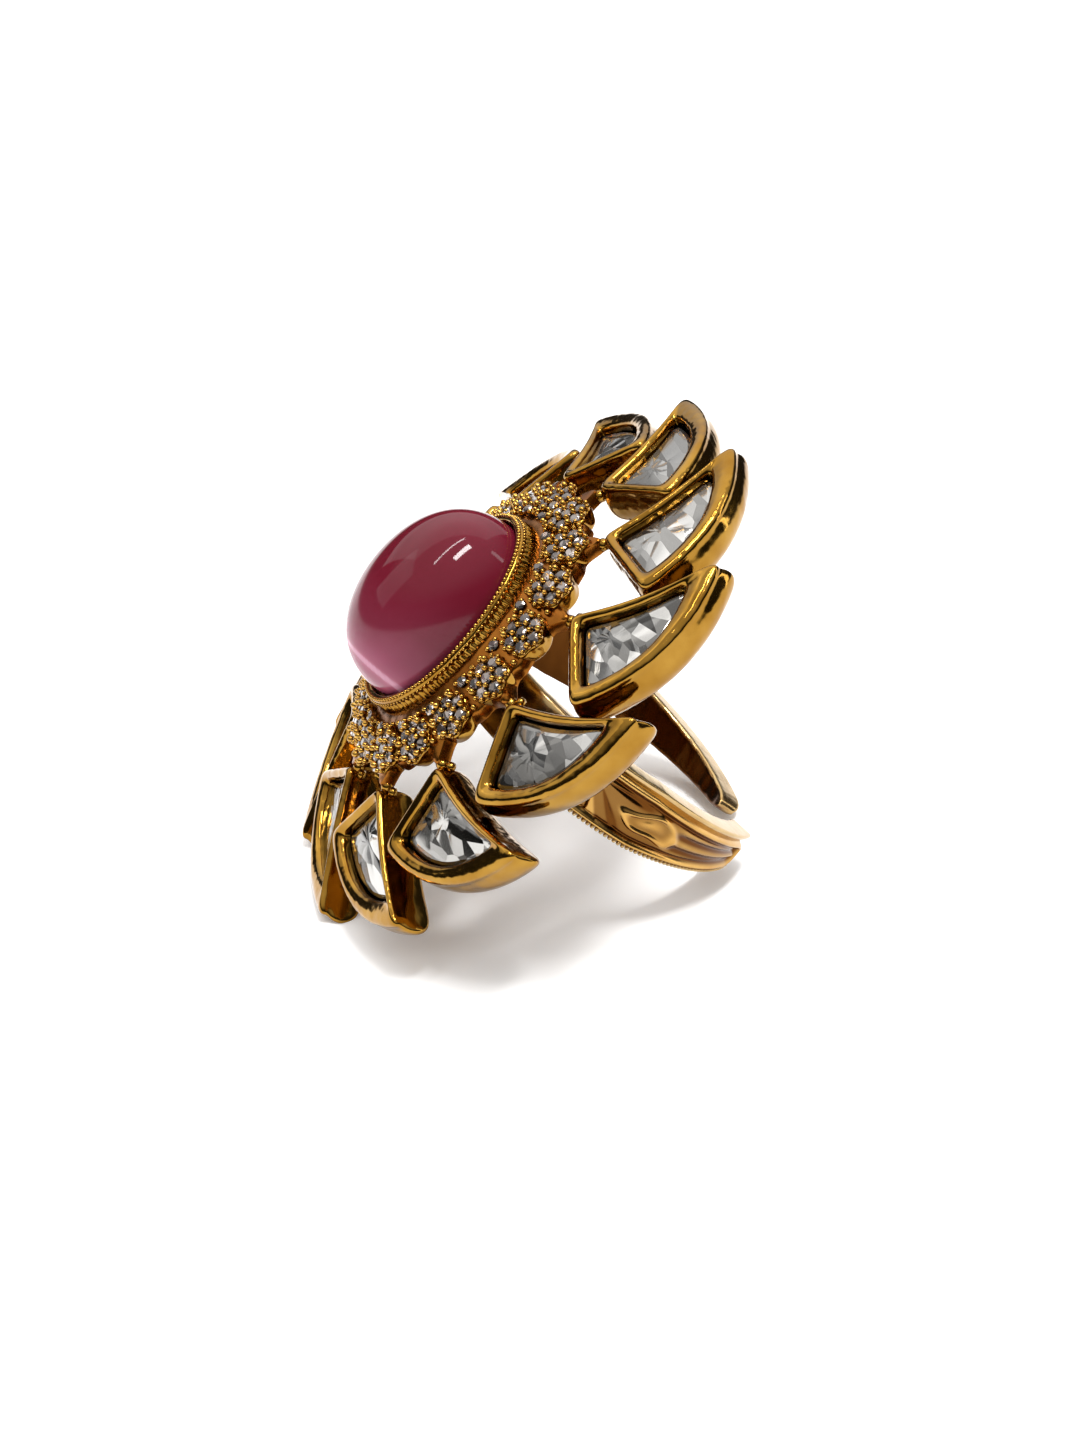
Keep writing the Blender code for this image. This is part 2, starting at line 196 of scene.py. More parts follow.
def through(knots, count):
    """Points on a smooth curve through the knots: a Catmull-Rom spline sampled evenly by knot."""
    knots = np.asarray(knots, float)
    padded = np.concatenate([2 * knots[:1] - knots[1:2], knots, 2 * knots[-1:] - knots[-2:-1]])
    t = np.linspace(0, len(knots) - 1 - 1e-9, count)
    i, f = np.floor(t).astype(int), (t % 1)[:, None]
    a, b, c, d = (padded[i + k] for k in range(4))
    square, cube = 2 * a - 5 * b + 4 * c - d, 3 * b - a - 3 * c + d
    return 0.5 * (2 * b + (c - a) * f + square * f ** 2 + cube * f ** 3)


def soft_step(value, low, high):
    t = np.clip((value - low) / (high - low), 0, 1)
    return t * t * (3 - 2 * t)


def bead_shape(around=8, tall=0.6):
    """A round grain of unit radius that stands on its plane: a ring at each of three leans, and a top."""
    lean = np.radians((-25, 15, 52))[:, None]
    turn = np.linspace(0, TAU, around, endpoint=False)[None, :]
    rings = np.stack([np.cos(lean) * np.cos(turn), np.cos(lean) * np.sin(turn),
                      tall * np.sin(lean) + 0 * turn], -1)
    verts, faces = capped(rings)
    verts[-1] = (0, 0, tall)
    return verts, faces


def grain_frames(points, normals, radius):
    """A frame on each point, with Z along the normal, scaled to the grain's radius."""
    normals = normals / np.linalg.norm(normals, axis=1, keepdims=True)
    askew = np.array([0.31, 0.17, 0.94])
    side = np.cross(normals, askew)
    side /= np.linalg.norm(side, axis=1, keepdims=True)
    frames = np.tile(np.eye(4), (len(points), 1, 1))
    radius = np.broadcast_to(np.asarray(radius, float), (len(points),))[:, None]
    frames[:, :3, 0], frames[:, :3, 1] = side * radius, np.cross(normals, side) * radius
    frames[:, :3, 2], frames[:, :3, 3] = normals * radius, points
    return frames


def brilliant_shape():
    """A small round stone of unit radius: table, stars, kites, girdle and a short point below."""
    turn = np.arange(8) * TAU / 8
    half = turn + TAU / 16
    table_radius, table_height, star_radius, star_height, point = 0.52, 0.34, 0.8, 0.2, -0.5
    table = np.stack([table_radius * np.cos(turn), table_radius * np.sin(turn), np.full(8, table_height)], -1)
    middle = np.stack([star_radius * np.cos(half), star_radius * np.sin(half), np.full(8, star_height)], -1)
    girdle = np.stack([np.cos(turn), np.sin(turn), np.zeros(8)], -1)
    verts = np.concatenate([table, middle, girdle, [[0, 0, point]]])
    i = np.arange(8)
    n = (i + 1) % 8
    stars = np.stack([i, 8 + i, n], -1)
    kites = np.stack([i, 8 + (i - 1) % 8, 16 + i, 8 + i], -1)
    edges = np.stack([8 + i, 16 + i, 16 + n], -1)
    under = np.stack([16 + i, np.full(8, 24), 16 + n], -1)
    return verts, [stars, kites, edges, under, i[None, :]]


# ---- materials ----
# A texture's scale is in cycles a metre.

TONE_SCALE, SMUDGE_SCALE, RIPPLE_SCALE, RIPPLE_HEIGHT = 420.0, 900.0, 650.0, 0.0002
# Brown of the painted shade in recesses, on the band's inside and in the panel's sunken relief.
SHADE_BROWN = (0.13, 0.045, 0.008)
FOIL_TURN, FOIL_STRETCH = (0.5, 0.9, 0.3), (1.0, 0.24, 1.0)


def new_material(name):
    material = bpy.data.materials.new(name)
    material.use_nodes = True
    nodes, links = material.node_tree.nodes, material.node_tree.links
    return material, nodes, links, nodes["Principled BSDF"]


def add_noise(nodes, links, scale, detail=3.0):
    where = nodes.new("ShaderNodeTexCoord")
    noise = nodes.new("ShaderNodeTexNoise")
    noise.inputs["Scale"].default_value = scale
    noise.inputs["Detail"].default_value = detail
    links.new(where.outputs["Object"], noise.inputs["Vector"])
    return noise


def add_ramp(nodes, links, source, stops):
    """A colour ramp, whose stops are (position, (r, g, b))."""
    ramp = nodes.new("ShaderNodeValToRGB")
    ends = ramp.color_ramp.elements
    while len(ends) < len(stops):
        ends.new(0.5)
    for element, (place, colour) in zip(ends, stops):
        element.position = place
        element.color = (*colour, 1.0)
    links.new(source, ramp.inputs["Fac"])
    return ramp


def gold(name, bright, deep, roughness, shade_strength=0.0, waves=0.0):
    """Plated metal: its colour and gloss wander a little, and painted shade makes its recesses browner."""
    material, nodes, links, shader = new_material(name)
    noise = add_noise(nodes, links, TONE_SCALE)
    tone = add_ramp(nodes, links, noise.outputs["Fac"], [(0.3, deep), (0.7, bright)])
    colour = tone.outputs["Color"]
    if shade_strength:
        painted_shade = nodes.new("ShaderNodeAttribute")
        painted_shade.attribute_name = "painted_shade"
        mix = nodes.new("ShaderNodeMix")
        mix.data_type = "RGBA"
        mix.inputs["B"].default_value = (*(shade_strength * part for part in SHADE_BROWN), 1.0)
        links.new(painted_shade.outputs["Fac"], mix.inputs["Factor"])
        links.new(colour, mix.inputs["A"])
        colour = mix.outputs["Result"]
    links.new(colour, shader.inputs["Base Color"])
    shader.inputs["Metallic"].default_value = 1.0
    smudge = add_noise(nodes, links, SMUDGE_SCALE, 5.0)
    spread = nodes.new("ShaderNodeMapRange")
    spread.inputs["To Min"].default_value = roughness * 0.6
    spread.inputs["To Max"].default_value = roughness * 1.5
    links.new(smudge.outputs["Fac"], spread.inputs["Value"])
    links.new(spread.outputs["Result"], shader.inputs["Roughness"])
    if waves:
        ripple = add_noise(nodes, links, RIPPLE_SCALE, 2.0)
        bump = nodes.new("ShaderNodeBump")
        bump.inputs["Strength"].default_value = waves
        bump.inputs["Distance"].default_value = RIPPLE_HEIGHT
        links.new(ripple.outputs["Fac"], bump.inputs["Height"])
        links.new(bump.outputs["Normal"], shader.inputs["Normal"])
    return material


def cats_eye():
    """Pink glass: dark raspberry where its painted light is low, and pale magenta where it is high."""
    material, nodes, links, shader = new_material("pink_cats_eye_glass")
    painted_light = nodes.new("ShaderNodeAttribute")
    painted_light.attribute_name = "painted_light"
    tone = add_ramp(nodes, links, painted_light.outputs["Fac"],
                    [(0.0, (0.10, 0.004, 0.010)), (0.3, (0.128, 0.008, 0.019)), (0.52, (0.165, 0.021, 0.040)),
                     (0.74, (0.30, 0.062, 0.114)), (0.88, (0.40, 0.11, 0.18)), (1.0, (0.60, 0.29, 0.39))])
    links.new(tone.outputs["Color"], shader.inputs["Base Color"])
    shader.inputs["Roughness"].default_value = 0.06
    shader.inputs["Specular IOR Level"].default_value = 0.2
    shader.inputs["Subsurface Weight"].default_value = 0.25
    shader.inputs["Subsurface Radius"].default_value = (1.0, 0.3, 0.45)
    shader.inputs["Subsurface Scale"].default_value = 0.0012
    return material


def foiled(name, bright, dark, scale, tilt, roughness):
    """Cut glass over foil below a polished top: every crease is tilted its own way, and toned as painted
    glints and shade.
    """
    material, nodes, links, shader = new_material(name)
    where = nodes.new("ShaderNodeTexCoord")
    cells = nodes.new("ShaderNodeTexVoronoi")
    cells.inputs["Scale"].default_value = scale
    stretched = nodes.new("ShaderNodeMapping")
    stretched.inputs["Rotation"].default_value = FOIL_TURN
    stretched.inputs["Scale"].default_value = FOIL_STRETCH
    links.new(where.outputs["Object"], stretched.inputs["Vector"])
    links.new(stretched.outputs["Vector"], cells.inputs["Vector"])
    centred = nodes.new("ShaderNodeVectorMath")
    centred.operation = "SUBTRACT"
    centred.inputs[1].default_value = (0.5, 0.5, 0.5)
    links.new(cells.outputs["Color"], centred.inputs[0])
    tilted = nodes.new("ShaderNodeVectorMath")
    tilted.operation = "SCALE"
    tilted.inputs["Scale"].default_value = tilt
    links.new(centred.outputs["Vector"], tilted.inputs[0])
    surface = nodes.new("ShaderNodeNewGeometry")
    added = nodes.new("ShaderNodeVectorMath")
    added.operation = "ADD"
    links.new(surface.outputs["Normal"], added.inputs[0])
    links.new(tilted.outputs["Vector"], added.inputs[1])
    unit = nodes.new("ShaderNodeVectorMath")
    unit.operation = "NORMALIZE"
    links.new(added.outputs["Vector"], unit.inputs[0])
    links.new(unit.outputs["Vector"], shader.inputs["Normal"])
    # Painted glints and shade: each crease's tone runs from dark to bright.
    tones = nodes.new("ShaderNodeSeparateColor")
    links.new(cells.outputs["Color"], tones.inputs["Color"])
    middle = tuple(0.7 * d + 0.3 * b for d, b in zip(dark, bright))
    tone = add_ramp(nodes, links, tones.outputs["Green"], [(0.1, dark), (0.6, middle), (0.95, bright)])
    links.new(tone.outputs["Color"], shader.inputs["Base Color"])
    shader.inputs["Metallic"].default_value = 0.9
    shader.inputs["Roughness"].default_value = roughness
    shader.inputs["Coat Weight"].default_value = 1.0
    shader.inputs["Coat Roughness"].default_value = 0.02
    return material


GOLD = gold("polished_gold", (0.35, 0.193, 0.034), (0.24, 0.114, 0.014), 0.11, waves=0.55)
# A lighter copy of the polished gold for prongs and beads: painted light on them.
LIT_BEAD_GOLD = gold("lit_bead_gold", (0.50, 0.285, 0.058), (0.36, 0.18, 0.03), 0.12)
# A darker, more orange copy for the plate: painted shade between the raised parts, on a matt finish of its
# own.
SHADED_GROUND_GOLD = gold("shaded_ground_gold", (0.27, 0.10, 0.014), (0.17, 0.054, 0.007), 0.24, waves=0.5)
# These two golds are browned by painted shade where their mask is high.
PALE_GOLD = gold("pale_gold", (0.52, 0.375, 0.18), (0.40, 0.255, 0.10), 0.22, shade_strength=0.8, waves=0.3)
RELIEF_GOLD = gold("relief_gold", (0.54, 0.325, 0.096), (0.42, 0.222, 0.052), 0.16, shade_strength=0.75)
PINK = cats_eye()
CRYSTAL = foiled("foiled_crystal", (0.60, 0.585, 0.555), (0.05, 0.046, 0.04), 1500.0, 0.5, 0.12)
PAVE = foiled("pave_stone", (0.50, 0.43, 0.39), (0.055, 0.038, 0.03), 2600.0, 0.8, 0.08)


# ---- cabochon and bezel ----

def oval_grid(profile, count, ripple=None):
    """Rows of an oval: x = (half length share + out) cos a, y = (half width share + out) sin a, z = height.

    The profile's rows are (share of the oval, out, height), and ripple adds to out at each angle.
    """
    a = np.linspace(0, TAU, count, endpoint=False)[None, :]
    share, out, height = (profile[:, k][:, None] for k in range(3))
    if ripple is not None:
        out = out + ripple(a, height)
    return np.stack([(STONE_HALF[0] * share + out) * np.cos(a), (STONE_HALF[1] * share + out) * np.sin(a),
                     height + 0 * a], -1)


def add_cabochon():
    """The dome: share = cos(t)^(2/p) and height = girdle + rise sin(t)^(2/p), above a straight girdle.

    Painted light: more towards its lower end, a haze and a thin bright sheen line there, and painted shade on
    top.
    """
    girdle = BEZEL_RIM - 0.3
    rise = BEZEL_RIM + STONE_DOME - girdle
    t = np.radians(np.linspace(0, 88.5, 90))
    power = 2 / STONE_SQUARENESS
    dome = np.stack([np.cos(t) ** power, 0 * t, girdle + rise * np.sin(t) ** power], -1)
    foot = np.array([(1, -0.3, BEZEL_SEAT + 0.05), (1, -0.05, BEZEL_SEAT + 0.25), (1, 0, BEZEL_SEAT + 0.45)])
    verts, faces = capped(oval_grid(np.concatenate([foot, dome]), 180))
    along, across = verts[:, 0] / STONE_HALF[0], verts[:, 1] / STONE_HALF[1]
    up = np.clip((verts[:, 2] - girdle) / rise, 0, 1)
    # Painted light in the colour: more towards the lower end, less over the top, and a painted haze and sheen
    # line.
    broad = 0.30 + 0.38 * soft_step(-along, -0.45, 0.70) - 0.16 * soft_step(up, 0.45, 1.0)
    haze = 0.12 * np.exp(-((along + 0.74) / 0.15) ** 2)
    line = 0.30 * np.exp(-((along + 0.78 - 0.08 * across ** 2) / 0.03) ** 2) * soft_step(-across, -0.6, 0.3)
    painted_light = np.clip(broad + haze + line, 0, 1)
    made = piece("cabochon_glass", verts, faces, PINK, values={"painted_light": painted_light})
    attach(made, "head")
    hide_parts("cabochon")


def add_bezel():
    """The collar: a smooth wall, fluted between its foot and its rim by out = wall + depth cos(flutes a)."""
    wall = BEZEL_FIT + BEZEL_WALL
    knots = [(0.3, 2.86), (wall - 0.02, 2.87), (wall + 0.1, 2.95), (wall + 0.12, 3.4), (wall + 0.05, 3.9),
             (wall - 0.02, 4.25), (wall + 0.02, 4.4), (wall + 0.03, 4.52), (wall - 0.04, 4.64),
             (wall - 0.2, 4.7), (BEZEL_FIT + 0.08, 4.7), (BEZEL_FIT, 4.6), (BEZEL_FIT - 0.02, 4.3),
             (0.12, 3.32)]
    curve = through(knots, 44)
    profile = np.stack([np.ones(len(curve)), curve[:, 0], curve[:, 1]], -1)
    outside = profile[:, 1][:, None] > 0.5

    def flutes(a, height):
        between = soft_step(height, 3.0, 3.15) * (1 - soft_step(height, 4.15, 4.3))
        return FLUTE_DEPTH * np.cos(FLUTES * a) * between * outside

    made = piece("bezel_collar", *capped(oval_grid(profile, 10 * FLUTES, flutes)), GOLD, sharp=60)
    a = np.linspace(0, TAU, MILGRAIN, endpoint=False)
    rim, belt = (wall - 0.12, 4.70, 0.135, 0, 0.25), (wall + 0.03, 4.42, 0.10, 0.5, 2.5)
    grains = []
    for out, height, radius, shift, lean in (rim, belt):
        turned = a + shift * TAU / MILGRAIN
        x, y = (STONE_HALF[0] + out) * np.cos(turned), (STONE_HALF[1] + out) * np.sin(turned)
        ways = np.stack([lean * np.cos(turned), lean * np.sin(turned), np.ones(MILGRAIN)], -1)
        grains.append(grain_frames(np.stack([x, y, np.full(MILGRAIN, height)], -1), ways, radius))
    trim = piece("bezel_milgrain", *copies(*bead_shape(8, 0.95), np.concatenate(grains)), LIT_BEAD_GOLD)
    for each in (made, trim):
        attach(each, "head")
        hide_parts("cabochon_bezel")


# ---- gallery and rosettes ----

def add_plate():
    """The plate: outer radius = R + arm exp(-(away / spread)^2) + scallop cos(36 a), its edges softened."""
    a = np.linspace(0, TAU, 720, endpoint=False)
    step = TAU / PETALS
    away = (a - math.radians(PETAL_TURN) + step / 2) % step - step / 2
    reach = GALLERY_RADIUS - 0.12 + (GALLERY_ARM + 0.3) * np.exp(-(away / math.radians(3.6)) ** 2)
    scallop = 0.10 * np.cos(36 * a)
    hole = (STONE_HALF[0] + GALLERY_HOLE, STONE_HALF[1] + GALLERY_HOLE)
    inner = np.stack([hole[0] * np.cos(a), hole[1] * np.sin(a)], -1)
    outer = np.stack([HEAD_SCALE[0] * np.cos(a), HEAD_SCALE[1] * np.sin(a)], -1) * (reach + scallop)[:, None]
    inner_reach = np.linalg.norm(inner, axis=1)
    top, under, soft = 16, 8, 0.12
    share = np.concatenate([np.linspace(0, 0.985, top), [1.0, 1.0, 0.985], np.linspace(0.9, 0, under)])
    drop = np.concatenate([np.zeros(top), [soft, GALLERY_THICK - soft, GALLERY_THICK],
                           np.full(under, GALLERY_THICK)])
    drop[0], drop[-1] = 0.1, GALLERY_THICK - 0.1
    spot = inner[None] + (outer - inner)[None] * share[:, None, None]
    radius = inner_reach[None] + (reach - inner_reach)[None] * share[:, None]
    z = cone_height(radius) - drop[:, None] - 0.06
    verts = np.concatenate([spot, z[..., None]], -1)
    faces = [grid_faces(*verts.shape[:2], closed=True)]
    return piece("gallery_plate", verts.reshape(-1, 3), faces, SHADED_GROUND_GOLD, sharp=50)


def add_seats(frames):
    """The rosettes' seats: cups whose wall swells into six lobes, 1 + lobe cos(6 turn), towards the top."""
    turn = np.linspace(0, TAU, 72, endpoint=False)[None, :]
    lobe = 0.075 * np.cos(6 * turn)
    knots = [(0.9, -SEAT_DEPTH - 0.1), (0.97, -SEAT_DEPTH), (1.0, -0.5), (1.0, -0.1), (0.97, 0.05),
             (0.9, SEAT_LIFT), (0.8, SEAT_LIFT + 0.02)]
    curve = through(knots, 22)
    flower = 1 + (0.08 + 0.92 * soft_step(curve[:, 1], -0.8, 0.0))[:, None] * lobe
    r = (SEAT_RADIUS - 0.02) * curve[:, 0][:, None] * flower
    cup = np.stack([r * np.cos(turn), r * np.sin(turn), curve[:, 1][:, None] + 0 * turn], -1)
    return piece("rosette_seats", *copies(*capped(cup), frames), GOLD, sharp=55)


def add_prongs(frames):
    """Beads that hold a rosette's stones: six round the middle stone, six in the gaps, twelve at the rim."""
    shape = bead_shape(8, 1.5)
    middle, gaps = (30, 0.52, 0.175, 0.31), (30, 1.10, 0.22, 0.27)
    rims = ((11, 1.28, 0.15, 0.19), (-11, 1.28, 0.15, 0.19))
    parts = []
    for way, radius, size, lift in (middle, gaps, *rims):
        turned = np.radians(way + 60 * np.arange(6))
        spots = np.stack([radius * np.cos(turned), radius * np.sin(turned), np.full(6, lift)], -1)
        ways = np.stack([0.1 * np.cos(turned), 0.1 * np.sin(turned), np.ones(6)], -1)
        parts.append(copies(*shape, grain_frames(spots, ways, size)))
    return piece("rosette_prongs", *copies(*together(parts), frames), LIT_BEAD_GOLD)


def add_ground_beads():
    """Beads on the plate: in pairs inside the ring of rosettes, and one by one outside it."""
    count = 2 * ROSETTES
    pair, outside = ((1.50, 0.17, 0.26, 0.12), (1.50, 0.17, -0.26, 0.12)), (3.45, 0.19, 0.0, 0.1)
    grains = []
    for out, size, shift, lift in (*pair, outside):
        turned = (np.arange(count) + shift) * TAU / count
        x, y = (STONE_HALF[0] + out) * np.cos(turned), (STONE_HALF[1] + out) * np.sin(turned)
        z = cone_height(np.hypot(x / HEAD_SCALE[0], y / HEAD_SCALE[1])) + lift
        ways = np.stack([CONE_SLOPE * np.cos(turned), CONE_SLOPE * np.sin(turned), np.ones(count)], -1)
        grains.append(grain_frames(np.stack([x, y, z], -1), ways, size))
    return piece("ground_beads", *copies(*bead_shape(8, 1.1), np.concatenate(grains)), LIT_BEAD_GOLD)


def add_solder():
    """Two round lumps of solder between each petal and the plate."""
    spots = np.array([(-0.42, 0.0, -0.55), (-0.15, 0.42, -0.75)])
    ways = np.array([(0, 0, 1.0)] * 2)
    lumps = copies(*bead_shape(12, 1.0), grain_frames(spots, ways, (0.40, 0.3)))
    return piece("petal_solder", *copies(*lumps, [petal_frame(k) for k in range(PETALS)]), GOLD)


def add_gallery():
    frames = [rosette_frame(k) for k in range(ROSETTES)]
    for each in (add_plate(), add_seats(frames), add_prongs(frames), add_ground_beads(), add_solder()):
        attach(each, "head")
        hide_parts("gallery")


def add_rosette_stones():
    """Seven round stones on every seat, one in the middle and six round it, and one more beside it."""
    turned = np.radians(60 * np.arange(6))
    ring = np.stack([0.87 * np.cos(turned), 0.87 * np.sin(turned), np.full(6, 0.2)], -1)
    ring_ways = np.stack([0.12 * np.cos(turned), 0.12 * np.sin(turned), np.ones(6)], -1)
    spots = np.concatenate([[(0, 0, 0.27)], ring, [(-1.42, 1.35, 0.12)]])
    ways = np.concatenate([[(0, 0, 1)], ring_ways, [(0, 0, 1)]])
    sizes = np.array([0.41] * 7 + [0.36])
    verts, faces = copies(*brilliant_shape(), grain_frames(spots, ways, sizes))
    for index in range(ROSETTES):
        made = piece(f"rosette_brilliants_{index + 1:02d}", move(verts, rosette_frame(index)), faces, PAVE,
                     smooth=False)
        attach(made, "head")
        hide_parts(f"rosette_stones_{index + 1:02d}")


# ---- petals ----

def bowed(start, end, bow, count):
    """A side from start to end that bows to its right: offset = 4 bow t (1 - t)."""
    start, end = np.array(start, float), np.array(end, float)
    way = end - start
    right = np.array([way[1], -way[0]]) / np.hypot(*way)
    t = np.linspace(0, 1, count, endpoint=False)[:, None]
    return start + way * t + right * 4 * bow * t * (1 - t)


def petal_outline(soften, count=150):
    """The wing's outline, its corners rounded by averaging it over a short length each way."""
    sides = np.concatenate([bowed((0, 0), PETAL_SHOULDER, 0, 150),
                            bowed(PETAL_SHOULDER, PETAL_TIP, PETAL_BELLY, 300),
                            bowed(PETAL_TIP, (0, 0), -PETAL_HOLLOW, 250)])
    lengths = np.linalg.norm(np.roll(sides, -1, 0) - sides, axis=1)
    along = np.concatenate([[0], np.cumsum(lengths)])
    fine = 1024
    even = np.linspace(0, along[-1], fine, endpoint=False)
    looped = np.concatenate([sides, sides[:1]])
    x, y = (np.interp(even, along, looped[:, k]) for k in range(2))
    waves = np.fft.fftfreq(fine, along[-1] / fine)
    blur = np.exp(-2 * (math.pi * soften * waves) ** 2)
    smooth = np.fft.ifft(np.fft.fft(x + 1j * y) * blur)
    chosen = smooth[np.round(np.linspace(0, fine, count, endpoint=False)).astype(int)]
    return np.stack([chosen.real, chosen.imag], -1)


OUTLINE = petal_outline(0.42)


def petal_rows(profile):
    """Rows of the outline: grown about the petal's middle by 1 + offset / inradius, at each height."""
    middle = np.array(PETAL_MIDDLE)
    share = 1 + profile[:, 0] / PETAL_INRADIUS
    spots = middle + (OUTLINE - middle)[None] * share[:, None, None]
    heights = np.broadcast_to(profile[:, 1][:, None, None], (*spots.shape[:2], 1))
    return np.concatenate([spots, heights], -1)


def add_petals():
    """Cups and stones, from profiles of (offset, height): the cup's runs up outside, over its rim and in."""
    knots = [(-1.2, -2.6), (-0.55, -2.61), (-0.12, -2.53), (0.16, -2.32), (0.31, -1.95), (0.37, -1.45),
             (0.35, -0.95), (0.28, -0.5), (0.27, -0.24), (0.23, -0.07), (0.13, 0.05), (0.0, 0.09),
             (-0.14, 0.04), (-0.25, -0.05), (-0.32, -0.22), (-0.34, -0.6), (-0.36, -1.47)]
    verts, faces = capped(petal_rows(through(knots, 58)))
    rings = petal_rows(np.array([(-0.40, -1.44), (-0.40, -0.66), (-0.50, -0.54), (-0.8, -0.44)]))
    for index in range(PETALS):
        cup = piece(f"petal_setting_{index + 1:02d}", move(verts, petal_frame(index)), faces, GOLD)
        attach(cup, "head")
        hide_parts(f"petal_cup_{index + 1:02d}")
        stone_verts, stone_faces = crystal_shape(index, rings)
        stone = piece(f"petal_stone_{index + 1:02d}", move(stone_verts, petal_frame(index)), stone_faces,
                      CRYSTAL, sharp=12)
        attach(stone, "head")
        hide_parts(f"petal_crystal_{index + 1:02d}")


def crystal_shape(index, rings):
    """A flat stone: a straight side, a bevel, and facets that rise a little to a middle, which differs."""
    way = 2.4 * index
    middle = np.array(PETAL_MIDDLE) + 0.45 * np.array([math.cos(way), math.sin(way)])
    turn = np.arctan2(rings[-1, :, 1] - middle[1], rings[-1, :, 0] - middle[0])
    facets = 0.05 * np.abs(np.sin(3.5 * turn + index))
    inward = rings[-1:, :, :2] * 0.45 + middle * 0.55
    inner = np.concatenate([inward, rings[-1:, :, 2:] + 0.02 + facets[None, :, None]], -1)
    verts, faces = capped(np.concatenate([rings, inner]))
    verts[-1, 2] = inner[0, :, 2].mean() + 0.03
    return verts, faces


# ---- shank ----

def band_half(degrees):
    share = np.clip(degrees / 90, 0, 1)
    return BAND_HALF_AT_HEAD + (BAND_HALF_AT_PALM - BAND_HALF_AT_HEAD) * share


def on_shank(degrees, side, x, r):
    """Shank point: (x, side r cos(angle), -r sin(angle)), carried into the head's frame."""
    angle = np.radians(degrees)
    points = np.stack([x + 0 * angle, side * r * np.cos(angle), -r * np.sin(angle)], -1)
    return move(points, SHANK)


def band_surface(side, end):
    """The band: a soft oblong section, x = h cos^, r = inner + thick (1 + sin^) / 2, along the angle.

    cos^ and sin^ are the cosine and sine raised to a third, which squares the section's corners, and
    the edge away from the cabochon's lower end swells into a rounded rib.
    """
    rows, cols = int((end - BAND_START) * 2.2), 48
    t = np.linspace(0, 1, rows)[:, None]
    d = BAND_START + (end - BAND_START) * (1 - (1 - t) ** 1.12)
    v = np.linspace(0, TAU, cols, endpoint=False)[None, :]
    c, s = (np.sign(f(v)) * np.abs(f(v)) ** 0.34 for f in (np.cos, np.sin))
    left = np.clip((end - d) / 7.0, 0, 1)
    ending = np.sqrt(np.clip(1 - (1 - left) ** 2, 0.03, 1))
    half = band_half(d) * ending
    thick = BRIDGE_THICK + (BAND_THICK - BRIDGE_THICK) * soft_step(d, -80, ROOT)
    x = half * c
    edge = half - x
    rib = np.exp(-(edge / 0.62) ** 2) * (s > 0) * soft_step(d, ROOT, ROOT + 18)
    wear = 0.015 * np.sin(0.9 * d + 2.0 * x) * (s < 0)
    r = FINGER_RADIUS + thick * (1 + s) / 2 + 0.6 * rib * ending - wear
    # Painted shade: full over the band's inside, about half over its top away from the rib.
    painted_shade = 0.55 * soft_step(edge, 0.45, 0.8) * (s > 0.2) + soft_step(edge, 0.1, 0.3) * (s < -0.5)
    return on_shank(d + 0 * v, side, x, r), np.clip(painted_shade + 0 * d, 0, 1)


def panel_relief(s, length, edge, t, half):
    """The panel's height above its ground, for s along it, t across it and the distance to its edge.

    A border ridge, a groove inside it, flowing lines towards the end, grooves that radiate near the
    head, a flat facet in the corner there, and a raised teardrop with a rim between them.
    """
    border = 0.2 * np.exp(-((edge - 0.30) / 0.17) ** 2) - 0.10 * np.exp(-((edge - 0.62) / 0.10) ** 2)
    flow = soft_step(s / length, 0.42, 0.55) * (1 - soft_step(s / length, 0.93, 0.99))
    lines = 0.085 * np.cos(TAU * (1.9 * t + 0.12 * np.sin(3.1 * s / length))) * flow
    lines = lines * soft_step(edge, 0.5, 0.8)
    y = t * half
    u, w = s - 1.0, y - 0.9
    ring = np.exp(-((np.hypot(u, w) - 2.2) / 1.2) ** 2)
    spokes = np.exp(-(np.sin(4.5 * np.arctan2(w, u)) / 0.30) ** 2) * ring
    spokes = -0.13 * spokes * soft_step(edge, 0.5, 0.75)
    facet = 0.12 * (1 - soft_step(s + 0.8 * y, 1.1, 1.35)) * soft_step(edge, 0.4, 0.6)
    p, q = (s - 0.36 * length) / 2.1, (y + 0.15 * np.sin(2.0 * s)) / (0.62 * half.mean())
    drop = np.hypot(p, q * (1.25 - 0.5 * np.clip(p, -1, 1)))
    tear = 0.17 * np.exp(-((drop - 0.82) / 0.16) ** 2) + 0.13 * np.exp(-(drop / 0.42) ** 2)
    return border + lines + spokes + facet + tear


def panel_half(degrees, s, length, least):
    """Half the panel's width: the band's less a margin, times a quarter of an ellipse at its end."""
    nose = np.clip((s - (length - PANEL_NOSE)) / PANEL_NOSE, 0, 1)
    return (band_half(degrees) - PANEL_MARGIN) * np.sqrt(np.clip(1 - nose ** 2, least, 1))


